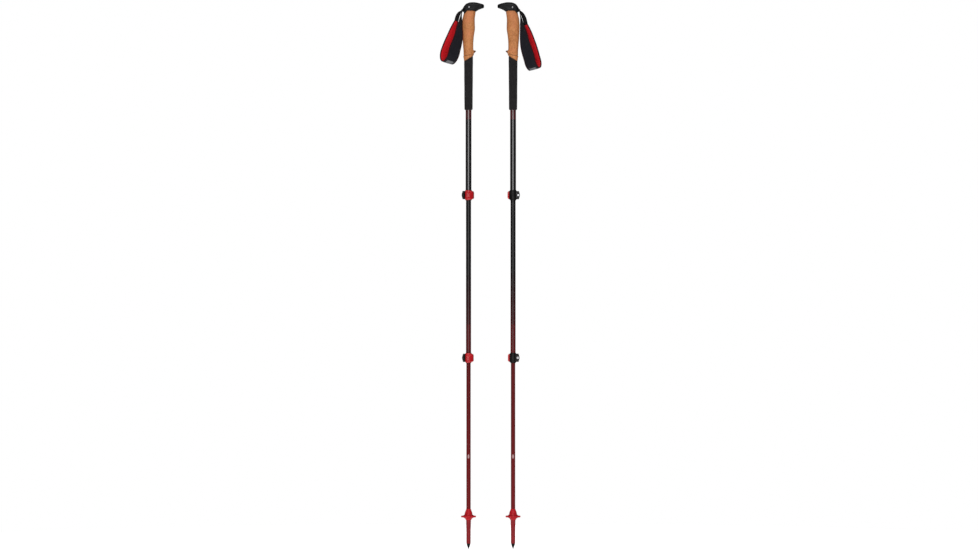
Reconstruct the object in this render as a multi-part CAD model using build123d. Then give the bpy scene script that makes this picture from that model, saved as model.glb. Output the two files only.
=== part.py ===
from build123d import *
import os
from math import asin, cos, degrees, radians, sin, tan

# A pair of three-section telescopic trekking poles, stood upright at full length.
# Millimetres, +Z up. The origin is on the ground, midway between the two tips.
# Each pole is built about its own axis with the grip's nose towards +X. The right
# pole is the left one turned half round, but its wrist strap is a mirror image.

# ---- driving dimensions ----
POLE_LENGTH = 1400.0
POLE_SPACING = 114.0

WALL = 0.7
UPPER_R = 7.5
MIDDLE_R = 6.5
LOWER_R = 5.5
SLIDE_GAP = 0.06
UPPER_OVERLAP = 75.0
LOWER_OVERLAP = 80.0
PLUG_HEAD = 15.0
PLUG_STEM = 20.0

UPPER_LOCK_Z = 906.0
LOWER_LOCK_Z = 489.5
TUBE_END_DROP = 3.0
LOCK_HEIGHT = 22.0
LEVER_HEIGHT = 24.0
SLEEVE_WALL = 0.9
CLAMP_WALL = 1.7
LEVER_WALL = 2.1
CLEARANCE = 0.3
CLAMP_SPLIT = 1.6
EAR_DEPTH_FRONT = 5.0
EAR_DEPTH_REAR = 6.3
CAM_R = 4.0
CAM_THROW = 0.5
PIVOT_R = 2.2
PIVOT_LENGTH = 17.0
SCREW_R = 1.5
SCREW_HEAD_R = 2.7
SCREW_HEAD_HEIGHT = 2.0

FOAM_BOTTOM_Z = 1124.0
FOAM_BOTTOM_R = 10.4
FOAM_TOP_R = 11.5
CORK_FOOT_Z = 1254.5
CORK_FOOT_SLOPE = 28.4
CORK_TOP_Z = 1378.0
CORK_SLIMNESS = 0.88

HEAD_HALF_WIDTH = 14.5
PIN_X = 1.5
PIN_Z = 1387.0
PIN_R = 2.0
MOUTH_X = -15.5
MOUTH_Z = 1379.0
MOUTH_R = 3.6
DRUM_R = 3.2
SLOT_WIDTH = 13.6

WEB_WIDTH = 12.0
WEB_THICKNESS = 1.8
STRAND_STEPS = 6
STRAND_BOW = 7.0
STRAND_END = 2.2
PAD_TOP = 32.0
PAD_WIDTH = 32.0
LINING_THICKNESS = 2.5
BAND_THICKNESS = 1.5
LABEL_THICKNESS = 0.5
# each strap's depth, the radius of its bottom bend, its turn about the pole and its lean away from it
LEFT_STRAP = (141.0, 23.0, -66.0, 16.4)
RIGHT_STRAP = (157.0, 16.0, -67.0, 16.0)

FERRULE_TOP_Z = 100.0
FERRULE_FOOT_Z = 14.0
FERRULE_R = 6.1
FERRULE_NECK_R = 5.5
FERRULE_NECK_TOP_Z = 34.0
SOCKET_FLOOR_Z = 60.0
BASKET_TOP_Z = 103.0
BASKET_FOOT_Z = 74.5
BASKET_FLANGE_Z = 84.0
BASKET_R = 19.0
BASKET_LOBES = 6

# ---- places worked out from the driving dimensions ----
UPPER_TUBE_END_Z = UPPER_LOCK_Z - TUBE_END_DROP
MIDDLE_TUBE_END_Z = LOWER_LOCK_Z - TUBE_END_DROP
MIDDLE_TOP_Z = UPPER_TUBE_END_Z + UPPER_OVERLAP
LOWER_TOP_Z = MIDDLE_TUBE_END_Z + LOWER_OVERLAP
UPPER_TUBE_TOP_Z = CORK_TOP_Z - 7.0
HEAD_SPIGOT_Z = MIDDLE_TOP_Z + 387.0


def solid_rod(radius, low, high):
    """A solid cylinder on the pole's axis, between two heights."""
    base = (Align.CENTER, Align.CENTER, Align.MIN)
    return Pos(0, 0, low) * Cylinder(radius, high - low, align=base)


def ring(outer, inner, low, high):
    """A plain tube on the pole's axis, between two heights."""
    return solid_rod(outer, low, high) - solid_rod(inner, low - 1, high + 1)


def block(x_range, y_range, z_range):
    """A box given by its limits along each axis."""
    middle = [sum(limits) / 2 for limits in (x_range, y_range, z_range)]
    size = [limits[1] - limits[0] for limits in (x_range, y_range, z_range)]
    return Pos(*middle) * Box(*size)


def side_prism(points, y_low, y_high):
    """A straight-sided outline in the XZ plane, made solid between two Y values."""
    outline = make_face(Polyline(*[(x, 0, z) for x, z in points], close=True))
    return Pos(0, y_low, 0) * extrude(outline, amount=y_high - y_low, dir=(0, 1, 0))


def turned(points):
    """A solid of revolution about the pole's axis from (radius, height) points."""
    outline = make_face(Polyline(*[(r, 0, z) for r, z in points], close=True))
    return revolve(outline, Axis.Z)


# ---- tubes and their guide plugs ----
def shafts():
    """The three telescoping tubes and the plastic plugs that guide the inner two."""
    middle_tube_top = MIDDLE_TOP_Z - PLUG_HEAD
    lower_tube_top = LOWER_TOP_Z - PLUG_HEAD
    return {
        "upper_shaft": ring(UPPER_R, UPPER_R - WALL, UPPER_TUBE_END_Z, UPPER_TUBE_TOP_Z),
        "middle_shaft": ring(MIDDLE_R, MIDDLE_R - WALL, MIDDLE_TUBE_END_Z, middle_tube_top),
        "lower_shaft": ring(LOWER_R, LOWER_R - WALL, SOCKET_FLOOR_Z, lower_tube_top),
        "middle_guide_plug": guide_plug(UPPER_R - WALL, MIDDLE_R - WALL, MIDDLE_TOP_Z),
        "lower_guide_plug": guide_plug(MIDDLE_R - WALL, LOWER_R - WALL, LOWER_TOP_Z),
    }


def guide_plug(bore_r, stem_r, top):
    """A hollow plug whose head runs in the outer tube and whose stem is glued inside the inner one."""
    head_low = top - PLUG_HEAD
    head = solid_rod(bore_r - SLIDE_GAP, head_low, top)
    head = chamfer(head.edges().filter_by(GeomType.CIRCLE).group_by(Axis.Z)[-1], 1.0)
    stem = solid_rod(stem_r, head_low - PLUG_STEM, head_low)
    return head + stem - solid_rod(stem_r - 1.6, head_low - PLUG_STEM - 1, top + 1)


# ---- lever lock ----
def lock(prefix, tube_r, inner_r, z_mid):
    """The clamp at the end of one tube, which grips the next tube inside it."""
    sleeve_r = tube_r + SLEEVE_WALL
    clamp_r = sleeve_r + CLAMP_WALL
    lever_in = clamp_r + CLEARANCE
    lever_out = lever_in + LEVER_WALL
    nub_x = tube_r + 10.0
    pivot = (-(tube_r + 5.7), -(EAR_DEPTH_FRONT + CAM_R + CAM_THROW + SLIDE_GAP))
    parts = {
        "sleeve": clamp_sleeve(tube_r, inner_r, sleeve_r),
        "clamp": clamp_body(sleeve_r, clamp_r, nub_x, pivot),
        "clamp_screw": clamp_screw(pivot),
        "lever_pin": lever_pin(pivot),
        "cam": cam_block(lever_in, lever_out, nub_x, pivot),
        "lever": lever_cover(lever_in, lever_out),
    }
    return {f"{prefix}_{name}": Pos(0, 0, z_mid) * part for name, part in parts.items()}


def clamp_sleeve(tube_r, inner_r, sleeve_r):
    """A slit plastic sleeve, pushed over the outer tube's end and bored to run on the inner tube."""
    low, high = -13.3, 13.0
    body = solid_rod(sleeve_r, low + 1.3, high)
    body += solid_rod(tube_r + 0.6, low, low + 1.3)
    body -= solid_rod(tube_r, -TUBE_END_DROP, high + 1)
    body -= solid_rod(inner_r + SLIDE_GAP, low - 1, high)
    slit = block((-sleeve_r - 1, 0), (-CLAMP_SPLIT / 2, CLAMP_SPLIT / 2), (low - 1, 6))
    return body - slit


def nub_outline(nub_x, inner_x, half_height):
    """The faceted side view of the clamp's nub: blunt in the middle, cut back above and below."""
    upper = [(-inner_x, half_height), (2.4 - nub_x, half_height - 0.2), (0.5 - nub_x, 3.6), (-nub_x, 1.6)]
    return upper + [(x, -z) for x, z in reversed(upper)]


def clamp_body(sleeve_r, clamp_r, nub_x, pivot):
    """A split collar with two ears, which the cross screw pulls together."""
    half = LOCK_HEIGHT / 2
    collar = ring(clamp_r, sleeve_r, -half, half)
    rims = collar.edges().filter_by(GeomType.CIRCLE).filter_by(lambda e: e.radius > clamp_r - 0.01)
    collar = chamfer(rims, 0.6)
    ears = side_prism(nub_outline(nub_x, 4.0, half - 0.6), -EAR_DEPTH_FRONT, EAR_DEPTH_REAR)
    ears = chamfer(ears.faces().sort_by(Axis.Y)[-1].edges().filter_by(GeomType.LINE), 0.8)
    body = collar + (ears - solid_rod(sleeve_r + 0.2, -half, half))
    body -= solid_rod(sleeve_r, -half - 1, half + 1)
    body -= block((-nub_x - 1, 0), (-CLAMP_SPLIT / 2, CLAMP_SPLIT / 2), (-half - 1, half + 1))
    x = pivot[0]
    body -= along_y(SCREW_R + 0.1, x, -EAR_DEPTH_FRONT - 1, EAR_DEPTH_REAR + 1)
    body -= along_y(SCREW_HEAD_R + 0.2, x, EAR_DEPTH_REAR - SCREW_HEAD_HEIGHT - 0.2, EAR_DEPTH_REAR + 1)
    return body


def along_y(radius, x, y_low, y_high):
    """A solid cylinder parallel to Y at mid-height of a lock."""
    middle = Pos(x, (y_low + y_high) / 2, 0)
    return middle * Rot(90, 0, 0) * Cylinder(radius, y_high - y_low)


def clamp_screw(pivot):
    """The socket-head screw that crosses both ears into the lever's pivot pin."""
    x, y = pivot
    seat = EAR_DEPTH_REAR - SCREW_HEAD_HEIGHT - 0.2
    shank = along_y(SCREW_R, x, y, seat)
    head = along_y(SCREW_HEAD_R, x, seat, seat + SCREW_HEAD_HEIGHT)
    socket = Pos(x, seat + SCREW_HEAD_HEIGHT, 0) * Rot(90, 0, 0)
    return shank + head - socket * extrude(RegularPolygon(1.45, 6), amount=2.4, both=True)


def lever_pin(pivot):
    """The upright pin that the screw threads into and the lever turns on."""
    pin = Pos(pivot[0], pivot[1], 0) * Cylinder(PIVOT_R, PIVOT_LENGTH)
    pin = chamfer(pin.edges().filter_by(GeomType.CIRCLE), 0.4)
    return pin - along_y(SCREW_R, pivot[0], pivot[1] - 0.01, pivot[1] + PIVOT_R + 1)


def cam_block(lever_in, lever_out, nub_x, pivot):
    """The lever's two cam cheeks about the pivot pin, joined in front of the screw."""
    x, y = pivot
    half = LOCK_HEIGHT / 2
    cheek = Pos(x, y + CAM_THROW) * Circle(CAM_R)
    root_x = -0.68 * lever_out
    root_y = -((lever_out**2 - root_x**2) ** 0.5)
    arm = make_face(Polyline((x, y - CAM_R + CAM_THROW), (root_x, root_y), (root_x, y + 3), (x, y + 3), close=True))
    plan = cheek + arm - Circle(lever_in)
    body = Pos(0, 0, -half) * extrude(plan, amount=2 * half)
    body &= side_prism(nub_outline(nub_x, 4.0, half - 0.3), -40, 0)
    body -= Pos(x, y, 0) * Cylinder(PIVOT_R + SLIDE_GAP, 3 * half)
    return body - block((-nub_x - 2, x + SCREW_R + 0.4), (y - 3.0, 0), (-1.9, 1.9))


def lever_cover(lever_in, lever_out):
    """The curved finger lever, which wraps round the front of the clamp and lifts off at its free end."""
    half = LEVER_HEIGHT / 2
    start, finish = -132.9, 12.0
    shell = ring(lever_out, lever_in, -half, half)
    reach = 3 * lever_out
    corners = [(reach * cos(radians(a)), reach * sin(radians(a))) for a in (start, -90, -40, finish)]
    wedge = make_face(Polyline((0, 0), *corners, close=True))
    shell &= Pos(0, 0, -half) * extrude(wedge, amount=2 * half)
    lip_r = 1.5
    lip_at = lever_in + lip_r
    angle = radians(finish)
    shell += Pos(lip_at * cos(angle), lip_at * sin(angle), 0) * Cylinder(lip_r, LEVER_HEIGHT - 2)
    side = Spline((-0.8 * lever_out, 0, 11.3), (0, 0, half), (1.2 * lever_out, 0, 8.2))
    rim = [side @ (step / 8) for step in range(9)]
    points = [(p.X, p.Z) for p in rim]
    shell &= side_prism(points + [(x, -z) for x, z in reversed(points)], -40, 40)
    dish = ring(lever_out + 5, lever_out - 0.7, -6.5, 6.5)
    dish &= block((-0.35 * lever_out, 0.75 * lever_out), (-40, 0), (-half, half))
    return shell - dish


# ---- grip ----
def slanted_foot(above):
    """Everything above, or below, the sloping joint between the cork and the foam."""
    reach = 400.0
    side = reach / 2 if above else -reach / 2
    return Pos(0, 0, CORK_FOOT_Z) * Rot(0, -CORK_FOOT_SLOPE, 0) * Pos(0, 0, side) * Box(reach, reach, reach)


def cork_grip():
    """The hand grip: an oval body with a palm swell behind and a finger hook in front."""
    # height, reach in front of the axis, reach behind it
    stations = [
        (1240.0, 11.0, 10.6),
        (1262.0, 11.8, 13.2),
        (1276.0, 12.2, 13.0),
        (1292.0, 12.2, 14.2),
        (1312.0, 13.6, 15.6),
        (1334.0, 16.4, 16.6),
        (1354.0, 15.8, 15.8),
        (1368.0, 17.2, 13.0),
        (CORK_TOP_Z, 18.6, 10.4),
    ]
    rings = [
        Pos((front - rear) / 2, 0, z) * Ellipse((front + rear) / 2, CORK_SLIMNESS * (front + rear) / 2)
        for z, front, rear in stations
    ]
    body = loft(rings) & slanted_foot(True)
    hook = [(8.0, 1265.0), (12.5, 1266.0), (19.0, 1274.5), (18.2, 1276.3), (15.4, 1275.4), (11.0, 1273.0), (8.0, 1273.0)]
    claw = side_prism(hook, -6.0, 6.0)
    claw = fillet(claw.edges().filter_by(Axis.Z, reverse=True).sort_by(Axis.X)[-4:], 0.6)
    return body + claw - solid_rod(UPPER_R, 1200, CORK_TOP_Z + 1)


def foam_grip():
    """The foam sleeve under the cork, for holding the pole lower down."""
    sleeve = Pos(0, 0, FOAM_BOTTOM_Z) * Circle(FOAM_BOTTOM_R)
    sleeve = loft([sleeve, Pos(0, 0, CORK_FOOT_Z + 20) * Circle(FOAM_TOP_R)])
    sleeve = fillet(sleeve.edges().group_by(Axis.Z)[0], 2.4)
    return (sleeve & slanted_foot(False)) - solid_rod(UPPER_R, FOAM_BOTTOM_Z - 1, 1300)


def grip_head():
    """The domed cap over the cork, drawn out in front into a blunt nose."""
    # reach in front of the axis, height of the top, height of the underside, half width
    stations = [
        (-16.8, 1382.0, 1375.8, 7.8),
        (-13.6, 1386.6, 1373.0, 9.2),
        (-10.6, 1391.4, 1371.2, 10.4),
        (-5.0, 1396.8, 1367.0, 12.8),
        (6.0, POLE_LENGTH - 0.2, 1364.0, HEAD_HALF_WIDTH),
        (14.0, POLE_LENGTH, 1369.3, 13.8),
        (21.0, 1399.2, 1377.2, 12.2),
        (28.0, 1397.4, 1381.6, 10.0),
        (33.5, 1395.0, 1384.2, 7.8),
        (37.2, 1392.6, 1386.2, 5.2),
        (39.2, 1390.7, 1387.6, 2.8),
        (39.8, 1389.7, 1388.5, 1.2),
    ]
    rings = [
        Plane(origin=(x, 0, (top + under) / 2), x_dir=(0, 1, 0), z_dir=(1, 0, 0)) * Ellipse(width, (top - under) / 2)
        for x, top, under, width in stations
    ]
    body = loft(rings) - side_prism(seat_outline(1340.0), -30, 30)
    body += solid_rod(UPPER_R - WALL, HEAD_SPIGOT_Z, CORK_TOP_Z + 2)
    return body - strap_slot() - pin_hole()


def seat_outline(far_z):
    """The side view of the joint between the cap and the cork, closed at a height beyond it."""
    seat = [(-11.5, 1371.5), (-9.0, 1371.5), (-4.0, CORK_TOP_Z), (12.0, CORK_TOP_Z), (19.0, CORK_TOP_Z - 2.5)]
    return [(-40.0, 1371.5)] + seat[1:] + [(40.0, CORK_TOP_Z - 2.5), (40.0, far_z), (-40.0, far_z)]


def strap_slot():
    """The passage for the webbing, from the mouth at the back up to the cross pin."""
    run = Vector(PIN_X - MOUTH_X, 0, PIN_Z - MOUTH_Z)
    tilt = -degrees(asin(run.Z / run.length))
    tunnel = Pos(MOUTH_X, 0, MOUTH_Z) * Rot(0, tilt, 0) * Pos(run.length / 2, 0, 0)
    slot = tunnel * Box(run.length, SLOT_WIDTH, 5.6)
    slot += crosswise(MOUTH_R, SLOT_WIDTH, MOUTH_X, MOUTH_Z)
    slot += crosswise(4.2, SLOT_WIDTH, PIN_X, PIN_Z)
    return slot + block((MOUTH_X - 12, MOUTH_X), (-SLOT_WIDTH / 2, SLOT_WIDTH / 2), (1366, MOUTH_Z + MOUTH_R))


def crosswise(radius, width, x, z):
    """A solid cylinder across the grip."""
    return Pos(x, 0, z) * Rot(90, 0, 0) * Cylinder(radius, width)


def pin_hole():
    return crosswise(PIN_R, 60, PIN_X, PIN_Z)


def grip():
    """The grip's pieces, with the steel cross pin and the end of webbing that it holds."""
    run = Vector(PIN_X - MOUTH_X, 0, PIN_Z - MOUTH_Z)
    tilt = -degrees(asin(run.Z / run.length))
    tail_length = run.length - MOUTH_R - 0.4
    tail = Pos(PIN_X, 0, PIN_Z) * Rot(0, tilt, 0) * Pos(-tail_length / 2, 0, 0)
    anchor = tail * Box(tail_length, WEB_WIDTH, 2 * WEB_THICKNESS)
    anchor += crosswise(PIN_R + WEB_THICKNESS, WEB_WIDTH, PIN_X, PIN_Z)
    pin = crosswise(PIN_R, 2 * HEAD_HALF_WIDTH - 1.6, PIN_X, PIN_Z)
    return {
        "grip_head": grip_head(),
        "strap_pin": chamfer(pin.edges().filter_by(GeomType.CIRCLE), 0.5),
        "strap_anchor": anchor - pin_hole(),
        "cork_grip": cork_grip() - side_prism(seat_outline(1420.0), -30, 30),
        "foam_grip": foam_grip(),
    }


# ---- wrist strap ----
def teardrop(bend_r, depth, grow):
    """A drop-shaped face hanging from a point: a round bottom under two straight sides."""
    half_angle = asin(bend_r / depth)
    outer = bend_r + grow
    apex = outer / sin(half_angle)
    side_x, side_y = outer * cos(half_angle), outer * sin(half_angle)
    sides = make_face(Polyline((0, apex), (side_x, side_y), (-side_x, side_y), close=True))
    return Pos(0, -depth) * (Circle(outer) + sides)


def strap_frame(turn, lean):
    """The loop hangs from the mouth of the slot, turned about the pole and leaning outwards."""
    return Pos(MOUTH_X, 0, MOUTH_Z) * Rot(0, lean, 0) * Rot(0, 0, turn)


def bend_centre(depth, bend_r):
    """How far below the mouth the bottom bend's centre is."""
    return depth - bend_r - LINING_THICKNESS - BAND_THICKNESS


def strap_layer(depth, bend_r, inner_grow, outer_grow, narrowing):
    """One layer of the padded band, tapered towards its upper ends."""
    centre = bend_centre(depth, bend_r)
    drop = teardrop(bend_r, centre, outer_grow) - teardrop(bend_r, centre, inner_grow)
    layer = Pos(0, PAD_WIDTH / 2, 0) * Rot(90, 0, 0) * extrude(drop, amount=PAD_WIDTH)
    half = PAD_WIDTH / 2 - narrowing
    widths = [(WEB_WIDTH / 2, -PAD_TOP), (0.72 * half, -0.43 * depth), (half, -0.74 * depth)]
    edge = Spline(*[(0, width, height) for width, height in widths], (0, 0.92 * half, -1.05 * depth))
    ends = [Line(corner, (0, -corner.Y, corner.Z)) for corner in (edge @ 0, edge @ 1)]
    face = make_face([edge, mirror(edge, Plane.XZ), *ends])
    return layer & (Pos(-60, 0, 0) * extrude(face, amount=120, dir=(1, 0, 0)))


def strap_label(depth, bend_r):
    """A small plain patch on the outside of the band, low down on the near side."""
    inner = bend_r + LINING_THICKNESS + BAND_THICKNESS
    patch = Circle(inner + LABEL_THICKNESS) - Circle(inner)
    rays = [(60 * cos(radians(a)), 60 * sin(radians(a))) for a in (-78.0, -42.0)]
    patch &= make_face(Polyline((0, 0), *rays, close=True))
    width = 0.62 * PAD_WIDTH
    return Pos(0, width / 2, 0) * Rot(90, 0, 0) * extrude(Pos(0, -bend_centre(depth, bend_r)) * patch, amount=width)


def strand(depth, bend_r, turn, side):
    """One run of webbing: it leaves the mouth flat and twists into line with its side of the band."""
    half_angle = asin(bend_r / bend_centre(depth, bend_r))
    offset = (LINING_THICKNESS + BAND_THICKNESS / 2) / cos(half_angle)
    end = Vector(side * (PAD_TOP * tan(half_angle) + offset), 0, STRAND_END - PAD_TOP)
    outwards = Vector(-1, 0, 0).rotate(Axis.Z, -turn)
    path = Bezier(Vector(0, 0, 0), end * 0.3 + outwards * STRAND_BOW, end)
    sections = []
    for step in range(STRAND_STEPS + 1):
        share = step / STRAND_STEPS
        along = path % share
        twist = -turn * (1 - share) ** 1.5
        across = Vector(0, 1, 0).rotate(Axis.Z, twist)
        across = (across - along * across.dot(along)).normalized()
        plane = Plane(origin=path @ share, x_dir=across, z_dir=along)
        sections.append(plane * Rectangle(WEB_WIDTH - 1.0, WEB_THICKNESS))
    return loft(sections, ruled=True)


def strap(depth, bend_r, turn, lean):
    """The swinging part of a wrist strap, in the left pole's frame."""
    drum = Rot(0, 0, -turn) * Rot(90, 0, 0) * Cylinder(DRUM_R, WEB_WIDTH)
    webbing = drum + strand(depth, bend_r, turn, 1) + strand(depth, bend_r, turn, -1)
    band_grow = LINING_THICKNESS + BAND_THICKNESS
    parts = {
        "strap_webbing": webbing,
        "strap_lining": strap_layer(depth, bend_r, 0.0, LINING_THICKNESS, 0.8),
        "strap_band": strap_layer(depth, bend_r, LINING_THICKNESS, band_grow, 0.0),
        "strap_label": strap_label(depth, bend_r),
    }
    return {name: strap_frame(turn, lean) * part for name, part in parts.items()}


# ---- foot ----
def foot():
    """The ferrule on the lower tube, the basket screwed on it and the pointed tip in its end."""
    ferrule = turned([
        (0, FERRULE_FOOT_Z), (FERRULE_NECK_R, FERRULE_FOOT_Z), (FERRULE_NECK_R, FERRULE_NECK_TOP_Z),
        (5.8, 50.0), (FERRULE_R, 56.0), (FERRULE_R, FERRULE_TOP_Z), (0, FERRULE_TOP_Z),
    ])
    ferrule -= solid_rod(LOWER_R, SOCKET_FLOOR_Z, FERRULE_TOP_Z + 1)
    ferrule -= solid_rod(3.0, FERRULE_FOOT_Z - 1, FERRULE_FOOT_Z + 12)
    tip = turned([(0, 0), (0.7, 0.2), (1.6, 3.0), (3.0, 8.0), (4.5, 12.4), (4.7, FERRULE_FOOT_Z), (0, FERRULE_FOOT_Z)])
    tip += solid_rod(3.0, FERRULE_FOOT_Z, FERRULE_FOOT_Z + 12)
    return {"tip_ferrule": ferrule, "basket": basket(), "carbide_tip": tip}


def basket():
    """A small trekking basket: a conical hub with a lobed flange and a rib under each lobe."""
    hub = turned([
        (0, BASKET_FOOT_Z), (7.0, BASKET_FOOT_Z), (8.0, 76.5), (9.5, 79.6), (10.7, 84.0), (10.0, 88.0),
        (9.2, 91.5), (8.0, 96.5), (6.8, 101.0), (6.3, BASKET_TOP_Z), (0, BASKET_TOP_Z),
    ])
    flange = turned([(8, 82.0), (14, 82.3), (BASKET_R, 82.8), (BASKET_R, 85.0), (14, 85.8), (8, 87.0)])
    for lobe in range(BASKET_LOBES):
        gap = 360.0 * (lobe + 0.5) / BASKET_LOBES
        flange -= Rot(0, 0, gap) * Pos(BASKET_R + 1.2, 0, BASKET_FLANGE_Z) * Cylinder(5.4, 20)
        rib = side_prism([(8.0, 77.6), (16.5, 83.4), (8.0, 84.5)], -0.9, 0.9)
        hub += Rot(0, 0, 360.0 * lobe / BASKET_LOBES) * rib
    body = hub + flange
    body -= solid_rod(FERRULE_R, BASKET_FOOT_Z - 1, FERRULE_TOP_Z)
    return body - solid_rod(LOWER_R + 0.1, FERRULE_TOP_Z - 1, BASKET_TOP_Z + 1)


# ---- the pair ----
def rigid_pole():
    """Everything in one pole but its strap, about its own axis."""
    parts = shafts() | grip() | foot()
    parts |= lock("upper", UPPER_R, MIDDLE_R, UPPER_LOCK_Z)
    return parts | lock("lower", MIDDLE_R, LOWER_R, LOWER_LOCK_Z)


def pair():
    """Both poles, each part under its node's name."""
    nodes = {}
    for name, part in rigid_pole().items():
        nodes[f"left_{name}"] = Pos(-POLE_SPACING / 2, 0, 0) * part
        nodes[f"right_{name}"] = Pos(POLE_SPACING / 2, 0, 0) * Rot(0, 0, 180) * part
    for name, part in strap(*LEFT_STRAP).items():
        nodes[f"left_{name}"] = Pos(-POLE_SPACING / 2, 0, 0) * part
    for name, part in strap(*RIGHT_STRAP).items():
        nodes[f"right_{name}"] = mirror(Pos(-POLE_SPACING / 2, 0, 0) * part, Plane.YZ)
    return nodes


os.makedirs("parts", exist_ok=True)
for node, shape in pair().items():
    export_step(shape, f"parts/{node}.step")
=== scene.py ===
from math import asin, cos, pi, radians, sin, tan

import bmesh
import bpy
import numpy as np
from mathutils import Matrix, Vector


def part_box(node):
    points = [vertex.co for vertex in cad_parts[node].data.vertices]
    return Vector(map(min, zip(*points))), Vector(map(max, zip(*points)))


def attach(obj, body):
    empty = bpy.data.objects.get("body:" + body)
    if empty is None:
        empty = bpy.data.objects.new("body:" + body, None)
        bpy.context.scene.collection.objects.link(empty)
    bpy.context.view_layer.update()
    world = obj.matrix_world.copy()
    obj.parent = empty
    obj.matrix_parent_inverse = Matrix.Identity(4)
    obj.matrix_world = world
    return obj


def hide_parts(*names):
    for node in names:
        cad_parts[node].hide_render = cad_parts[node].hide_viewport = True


# Looks for a pair of trekking poles. Shapes are worked out in one pole's own frame, in
# millimetres: the pole's axis is at x = y = 0, the grip's nose points along +X and the ground
# is z = 0. The right pole is the left one turned half round; its wrist strap is mirrored.

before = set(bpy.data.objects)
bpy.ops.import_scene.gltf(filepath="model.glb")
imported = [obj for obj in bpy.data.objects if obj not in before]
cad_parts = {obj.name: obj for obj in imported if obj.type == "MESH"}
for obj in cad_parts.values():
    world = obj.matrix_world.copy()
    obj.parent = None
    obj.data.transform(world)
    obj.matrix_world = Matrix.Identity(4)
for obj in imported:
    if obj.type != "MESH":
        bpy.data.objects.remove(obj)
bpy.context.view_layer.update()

MM = 0.001
SIDES = ("left", "right")


def middle_of(node):
    low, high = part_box(node)
    return (low + high) / 2


AXIS_X = {side: middle_of(f"{side}_lower_shaft").x for side in SIDES}


# ---------------------------------------------------------------- numbers and curves
def smoothstep(low, high, value):
    share = np.clip((value - low) / (high - low), 0.0, 1.0)
    return share * share * (3 - 2 * share)


def around(count):
    """That many angles, evenly spaced round a full turn."""
    return np.linspace(0, 2 * pi, count, endpoint=False)


def polar(r, angle, z):
    """Points at a distance r from the pole's axis, at an angle about it and at a height."""
    return np.stack([r * np.cos(angle), r * np.sin(angle), z], axis=-1)


def smooth_curve(knots, at):
    """Values at `at` of a smooth curve through (position, value) knots, without overshoot."""
    xs, ys = np.array(knots, float).T
    step = np.diff(xs)
    slope = np.diff(ys) / step
    before, after = slope[:-1], slope[1:]
    same_way = before * after > 0
    harmonic = 2 * before * after / np.where(same_way, before + after, 1)
    tangent = np.concatenate(([slope[0]], np.where(same_way, harmonic, 0), [slope[-1]]))
    at = np.clip(at, xs[0], xs[-1])
    i = np.clip(np.searchsorted(xs, at, side="right") - 1, 0, len(step) - 1)
    t = (at - xs[i]) / step[i]
    return (
        (2 * t**3 - 3 * t**2 + 1) * ys[i]
        + (t**3 - 2 * t**2 + t) * step[i] * tangent[i]
        + (3 * t**2 - 2 * t**3) * ys[i + 1]
        + (t**3 - t**2) * step[i] * tangent[i + 1]
    )


def table_curve(table, column, at):
    """A smooth curve through one column of a table whose first column is the position."""
    return smooth_curve([(row[0], row[column]) for row in table], at)


def ripple(a, b, seed):
    """A smooth, repeatable unevenness of about -1 to 1 over two coordinates."""
    waves, usual_peak = 7, 3.2
    rng = np.random.default_rng(seed)
    total = 0.0
    for _ in range(waves):
        fa, fb = rng.uniform(-1, 1, 2)
        total = total + np.sin(2 * pi * (fa * a + fb * b) + rng.uniform(0, 2 * pi))
    return total / usual_peak


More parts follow.
